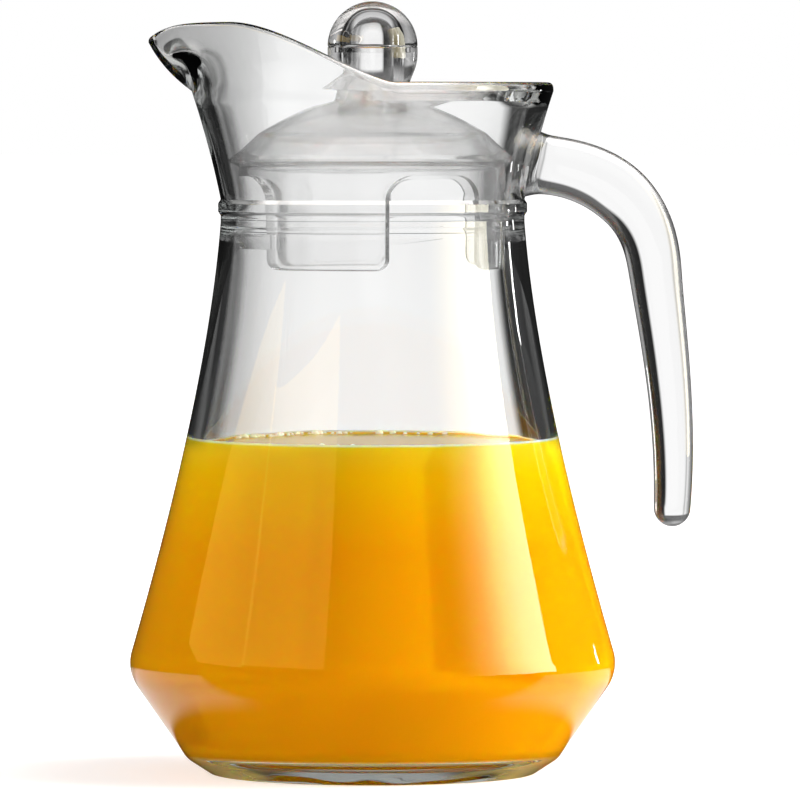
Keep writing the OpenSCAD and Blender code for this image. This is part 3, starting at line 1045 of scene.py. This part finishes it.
def jug_glass():
    """Thick glass, greenish in its depth."""
    material, tree, shader, output = clear_material("jug_glass", GLASS_IOR, JUG_WAVES)
    # The wall's colour is painted shade, at its edges and on the beak's side.
    fill(tree, shader.inputs["Base Color"], wall_painted_shade(tree))
    values = {"Color": GLASS_GREEN, "Density": GLASS_DENSITY}
    fill(tree, output.inputs["Volume"], new_node(tree, "ShaderNodeVolumeAbsorption", values).outputs[0])
    return material


def handle_glass():
    """The handle is painted darker towards its edges, more so on the side that faces the jug: painted
    shade.
    """
    material, tree, shader, _ = clear_material("handle_glass", GLASS_IOR, HANDLE_WAVES)
    inner = ranged(tree, true_normal(tree)["X"], *INNER_NORMAL)
    shades = [ramp(tree, facing(tree), steps) for steps in (HANDLE_OUTER_SHADE, HANDLE_INNER_SHADE)]
    fill(tree, shader.inputs["Base Color"], blend(tree, inner, *shades))
    return material


def clear_plastic():
    """The lid's thin plastic, a little hazy, with its dome painted greyer than its skirt: painted
    shade.
    """
    material, tree, shader, _ = clear_material("clear_plastic", LID_IOR, LID_WAVES)
    dome = ranged(tree, axes(tree, place(tree))["Z"], *heights(FLANGE_H, DOME_FADE))
    fill_all(tree, shader, {
        "Base Color": blend(tree, dome, SKIRT_TINT, DOME_SHADE),
        "Roughness": LID_HAZE,
        "Alpha": use_group(tree, "bond", {"Height": KNOB_H * MM, "Body": LID_BODY}),
    })
    return material


def knob_plastic():
    """The knob is thicker and more wavy than the lid, and is painted darker towards its edges: painted
    shade.
    """
    material, tree, shader, _ = clear_material("knob_plastic", KNOB_IOR, KNOB_WAVES)
    fill_all(tree, shader, {
        "Base Color": ramp(tree, facing(tree), KNOB_EDGE_SHADE),
        "Alpha": use_group(tree, "bond", {"Height": KNOB_H * MM, "Body": 1}),
    })
    return material


# The juice and its bubbles

def orange_juice():
    """Orange juice, which turns back light that meets it very flatly from inside the glass or
    from above."""
    material, tree, shader, output = new_material("orange_juice")
    at = axes(tree, place(tree))
    normal = true_normal(tree)
    up = maths(tree, "GREATER_THAN", normal["Z"], UPWARD)
    beside = maths(tree, "LESS_THAN", normal["Z"], UPWARD)
    # The juice's colour by height carries painted light and shade: darker low down, lighter towards the
    # top, a painted highlight at the glass and painted light on its underside.
    colour_and_painted_light = ramp(tree, ranged(tree, at["Z"], 0, JUICE_H * MM, "LINEAR"), JUICE_TONES_AND_PAINTED_LIGHT)
    colour_and_painted_light = blend(tree, CLOUD_SHARE, colour_and_painted_light, noise(tree, place(tree), CLOUD_SCALE, 3), "SOFT_LIGHT")
    # The level top face is painted darker: painted shade.
    top = maths(tree, "MULTIPLY", ranged(tree, at["Z"], *heights(JUICE_H, TOP_FADE)), up)
    fill_all(tree, shader, {
        "Base Color": blend(tree, top, colour_and_painted_light, JUICE_TOP_SHADE),
        "Roughness": JUICE_ROUGHNESS,
        "Specular IOR Level": 0,
        "Subsurface Weight": 1,
        "Subsurface Radius": JUICE_DEPTHS,
        "Subsurface Scale": JUICE_DEPTH,
    })
    seen = facing(tree)
    in_glass = maths(tree, "MULTIPLY", ranged(tree, seen, *GLASS_MIRROR), beside)
    on_top = maths(tree, "MULTIPLY", ranged(tree, seen, *TOP_MIRROR), up)
    on_top = maths(tree, "MULTIPLY", on_top, TOP_MIRROR_SHARE)
    mirror = new_node(tree, "ShaderNodeBsdfGlossy", {"Roughness": 0}).outputs[0]
    share = maths(tree, "ADD", in_glass, on_top)
    fill(tree, output.inputs["Surface"], either(tree, share, shader.outputs[0], mirror))
    return material


def juice_foam():
    """Pale, wet bubbles, a little uneven in colour."""
    material, tree, shader, _ = new_material("juice_foam")
    patches = noise(tree, place(tree), FOAM_SCALE, 2)
    fill_all(tree, shader, {
        "Base Color": blend(tree, patches, FOAM_DARK, FOAM_PALE),
        "Roughness": FOAM_ROUGHNESS,
        "Subsurface Weight": FOAM_MILKINESS,
        "Subsurface Scale": FOAM_DEPTH,
    })
    return material


# Floor and surroundings

def light_masks(tree):
    """What the camera sees directly, through glass or in a gloss; of that, light that has been
    turned back inside the glass; what shows in an outer gloss; and what is seen through glass."""
    path = new_node(tree, "ShaderNodeLightPath").outputs
    direct = maths(tree, "LESS_THAN", path["Diffuse Depth"], 1)
    seen = maths(tree, "ADD", path["Is Camera Ray"], path["Is Transmission Ray"])
    seen = maths(tree, "ADD", seen, path["Is Glossy Ray"])
    seen = maths(tree, "MULTIPLY", seen, direct)
    bounced = maths(tree, "GREATER_THAN", path["Glossy Depth"], 0)
    turned_back = maths(tree, "MULTIPLY", bounced, seen)
    outside = maths(tree, "LESS_THAN", path["Transmission Depth"], 1)
    in_gloss = maths(tree, "MULTIPLY", path["Is Glossy Ray"], direct)
    in_gloss = maths(tree, "MULTIPLY", in_gloss, outside)
    return seen, turned_back, in_gloss, path["Is Transmission Ray"]


def backdrop(tree, way):
    """How bright the backdrop is in a direction: white cards behind, in front and to the sides,
    with dark gaps between them."""
    sideways = ranged(tree, axes(tree, way)["X"], -1, 1, "LINEAR")
    return ramp(tree, sideways, from_middle(BACKDROP))


def make_world():
    """White for what is seen directly, and cards for what is seen through the glass. In gloss,
    and for light that has been turned back inside the glass, a dark room under a bright ceiling,
    with uneven walls."""
    world = bpy.data.worlds.new("studio")
    bpy.context.scene.world = world
    world.use_nodes = True
    tree = world.node_tree
    seen, turned_back, in_gloss, through = light_masks(tree)
    way = new_node(tree, "ShaderNodeTexCoord").outputs["Generated"]
    at = axes(tree, way)
    patches = ranged(tree, noise(tree, way, ROOM_SCALE, 2), *PATCH_SPAN)
    room = blend(tree, patches, ROOM_DARK, ROOM_PATCH)
    room = blend(tree, ranged(tree, at["Z"], *CEILING_SPAN), room, CEILING)
    straight = ranged(tree, maths(tree, "ABSOLUTE", at["Y"]), *STRAIGHT_SPAN)
    room = blend(tree, straight, room, STRAIGHT_ON)
    cards = blend(tree, ranged(tree, at["Z"], *CARD_TOP_SPAN), backdrop(tree, way), ABOVE_CARDS)
    cards = blend(tree, ranged(tree, at["Z"], *OVERHEAD_SPAN), cards, OVERHEAD)
    colour = blend(tree, through, WHITE, cards)
    colour = blend(tree, turned_back, colour, room)
    colour = blend(tree, in_gloss, colour, GLOSS_DARK)
    colour = blend(tree, seen, ROOM_LIGHT, colour)
    fill(tree, tree.nodes["Background"].inputs["Color"], colour)


def white_sweep():
    """A pale floor that keeps the shadow and glows, which is painted light: less near the jug, where
    the shadow shows, and more under the foot. In the glass it shows as cards with dark gaps.
    """
    material, tree, shader, output = new_material("white_sweep")
    seen, turned_back, in_gloss, through = light_masks(tree)
    spot = place(tree)
    away = new_node(tree, "ShaderNodeVectorMath", {0: spot}, operation="LENGTH").outputs["Value"]
    way = new_node(tree, "ShaderNodeVectorMath", {0: spot}, operation="NORMALIZE").outputs["Vector"]
    # The floor's glow is painted light: faint near the jug so that the shadow shows there, full farther
    # out, and brighter under the foot.
    floor_glow = maths(tree, "MULTIPLY", ranged(tree, away, *SHADOW_SPAN), LIT_GLOW)
    floor_glow = maths(tree, "MULTIPLY", seen, maths(tree, "ADD", floor_glow, SHADOW_GLOW))
    under = maths(tree, "MULTIPLY", ranged(tree, away, *UNDER_SPAN), UNDER_GLOW)
    fill_all(tree, shader, {
        "Base Color": FLOOR_COLOUR,
        "Roughness": FLOOR_ROUGHNESS,
        "Specular IOR Level": FLOOR_GLOSS,
        "Emission Color": WHITE,
        "Emission Strength": maths(tree, "ADD", floor_glow, under),
    })
    # What the floor shows in gloss or inside the glass glows and is painted: a painted shadow near the
    # foot, then the cards, and painted light near the jug for light turned back inside the glass.
    card = backdrop(tree, way)
    gloss = blend(tree, ranged(tree, away, *FOOT_SPAN), FOOT_SHADOW_IN_GLOSS, WHITE)
    gloss = blend(tree, ranged(tree, away, *CARD_SPAN), gloss, card)
    gloss = blend(tree, ranged(tree, away, *FAR_SPAN), gloss, GLOSS_DARK)
    gloss = blend(tree, ranged(tree, axes(tree, spot)["Y"], *FRONT_SPAN), gloss, GLOSS_DARK)
    inner = blend(tree, ranged(tree, away, *INNER_SPAN), INNER_NEAR, INNER_FAR)
    colour = blend(tree, in_gloss, blend(tree, turned_back, card, inner), gloss)
    glow = new_node(tree, "ShaderNodeEmission", {"Color": colour}).outputs[0]
    far = ranged(tree, away, *THROUGH_SPAN)
    far_through = maths(tree, "MULTIPLY", maths(tree, "MULTIPLY", through, seen), far)
    share = maths(tree, "ADD", maths(tree, "ADD", turned_back, in_gloss), far_through)
    fill(tree, output.inputs["Surface"], either(tree, share, shader.outputs[0], glow))
    return material


def make_floor():
    """A wide level floor under the jug."""
    bpy.ops.object.select_all(action="DESELECT")
    bpy.ops.mesh.primitive_grid_add(x_subdivisions=8, y_subdivisions=8, size=FLOOR_W)
    floor = bpy.context.object
    floor.name = "floor"
    floor.data.materials.append(white_sweep())


# Light and camera

def soft_box(name, azimuth, height, size, level, shows=True, lights=True):
    """A soft box of the given brightness at a place round the object from the camera, towards the
    handle. It may show in reflections, light the pieces, or both."""
    turn = math.radians(azimuth)
    lamp = bpy.data.lights.new(name, "AREA")
    lamp.shape = "RECTANGLE"
    lamp.size, lamp.size_y = size
    lamp.energy = level * math.pi * size[0] * size[1]
    holder = bpy.data.objects.new(name, lamp)
    bpy.context.scene.collection.objects.link(holder)
    holder.location = (BOX_DISTANCE * math.sin(turn), -BOX_DISTANCE * math.cos(turn), height)
    aim = Vector((0, 0, height)) - holder.location
    holder.rotation_euler = aim.to_track_quat("-Z", "Y").to_euler()
    holder.visible_camera = False
    holder.visible_diffuse = lights
    holder.visible_glossy = shows
    holder.visible_transmission = shows
    return holder


def tint_box(box, tint, edge_tint=None, fade=None):
    """Tints a soft box, and may fade it towards one side with another tint. On the far side of a
    wall of glass it is white and faint."""
    box.data.use_nodes = True
    tree = box.data.node_tree
    crossed = new_node(tree, "ShaderNodeLightPath").outputs["Transmission Depth"]
    outside = maths(tree, "LESS_THAN", crossed, 1)
    amount = maths(tree, "ADD", maths(tree, "MULTIPLY", outside, 1 - INSIDE_SHARE), INSIDE_SHARE)
    if fade:
        across = new_node(tree, "ShaderNodeNewGeometry").outputs["Parametric"]
        shown = ranged(tree, axes(tree, across)["X"], *fade)
        amount = maths(tree, "MULTIPLY", amount, shown)
        tint = blend(tree, shown, edge_tint, tint)
    colour = blend(tree, outside, WHITE, tint)
    fill_all(tree, tree.nodes["Emission"], {"Strength": amount, "Color": colour})


def make_lights():
    """Boxes that show in the gloss, and fills that only light the pieces."""
    tint_box(soft_box("right_box", *RIGHT_BOX, lights=False), CREAM, GOLD, RIGHT_FADE)
    tint_box(soft_box("left_box", *LEFT_BOX, lights=False), AMBER)
    tint_box(soft_box("left_far_box", *LEFT_FAR_BOX, lights=False), AMBER)
    soft_box("back_strip", *BACK_STRIP, lights=False)
    soft_box("right_fill", *RIGHT_FILL, shows=False)
    soft_box("left_fill", *LEFT_FILL, shows=False)
    top = soft_box("top_box", *TOP_BOX, shows=False)
    top.location = TOP_BOX_AT
    top.rotation_euler = (0, 0, 0)


def make_camera():
    data = bpy.data.cameras.new("camera")
    data.sensor_width = SENSOR_W
    data.lens = LENS
    data.clip_start, data.clip_end = CLIP
    camera = bpy.data.objects.new("camera", data)
    bpy.context.scene.collection.objects.link(camera)
    camera.location = CAMERA_AT
    aim = Vector(CAMERA_AIM) - camera.location
    camera.rotation_euler = aim.to_track_quat("-Z", "Y").to_euler()
    bpy.context.scene.camera = camera


# Putting it together

make_camera()
make_world()
make_floor()
make_lights()
make_waves()
make_bond()

glass = jug_glass()
glass_of_handle = handle_glass()
plastic = clear_plastic()
plastic_of_knob = knob_plastic()

jug = make_jug()
handle = make_handle()
lid = make_lid()
knob = make_knob()
juice = make_juice()
bubbles = make_bubbles()

for piece, material, body, node, slot in (
    (jug, glass, "jug", "glass_jug", "jug_glass"),
    (handle, glass_of_handle, "jug", "glass_handle", "handle_glass"),
    (lid, plastic, "lid", "lid_body", "lid_plastic"),
    (knob, plastic_of_knob, "lid", "knob_cap", "knob_plastic"),
):
    piece.data.materials.append(material)
    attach(piece, body)
    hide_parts(node)

lid.data.materials.append(plastic_of_knob)
for face in lid.data.polygons:
    if face.center.z > (KNOB_H - KNOB_WAIST[1]) * MM:
        face.material_index = 1

juice.data.materials.append(orange_juice())
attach(juice, "jug")
bubbles.data.materials.append(juice_foam())
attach(bubbles, "jug")

scene = bpy.context.scene
scene.view_settings.view_transform = "Standard"
scene.cycles.max_bounces = LIGHT_BOUNCES
scene.cycles.transmission_bounces = LIGHT_BOUNCES
scene.cycles.glossy_bounces = GLOSS_BOUNCES
scene.cycles.transparent_max_bounces = CLEAR_BOUNCES
